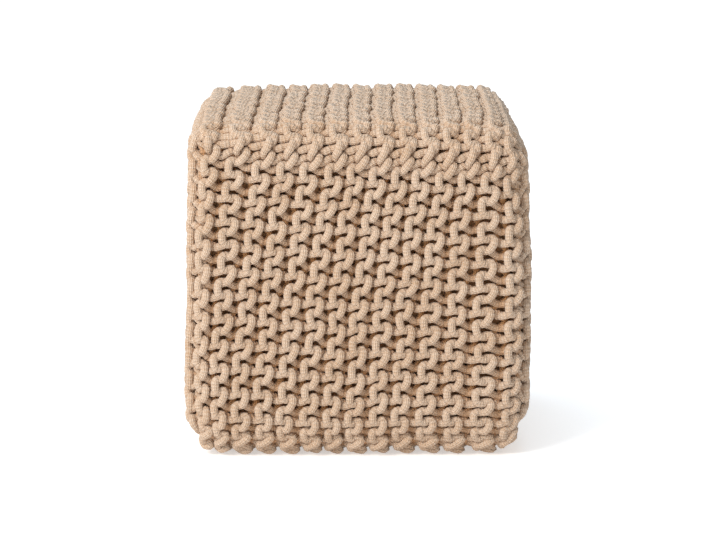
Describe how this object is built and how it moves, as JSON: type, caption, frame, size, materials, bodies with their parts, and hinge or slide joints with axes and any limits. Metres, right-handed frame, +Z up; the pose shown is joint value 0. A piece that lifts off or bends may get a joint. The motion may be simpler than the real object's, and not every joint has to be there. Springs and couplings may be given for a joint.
{
  "type": "knitted pouf",
  "caption": "Cube floor pouf in chunky garter-knit cotton cord, filled and crowned, with its ridges running up the front and over the top.",
  "frame": {"origin": "middle of the underside, on the floor", "axes": "+Z up, the front faces -Y, +X to the right seen from the front"},
  "size_m": [0.399, 0.3992, 0.3976],
  "materials": {
    "wrap_knit": "matte braided cotton cord, garter knit",
    "side_knit": "matte braided cotton cord, garter knit"
  },
  "bodies": {
    "root": {"wrap": "wrap_knit", "side_left": "side_knit", "side_right": "side_knit"}
  },
  "joints": []
}
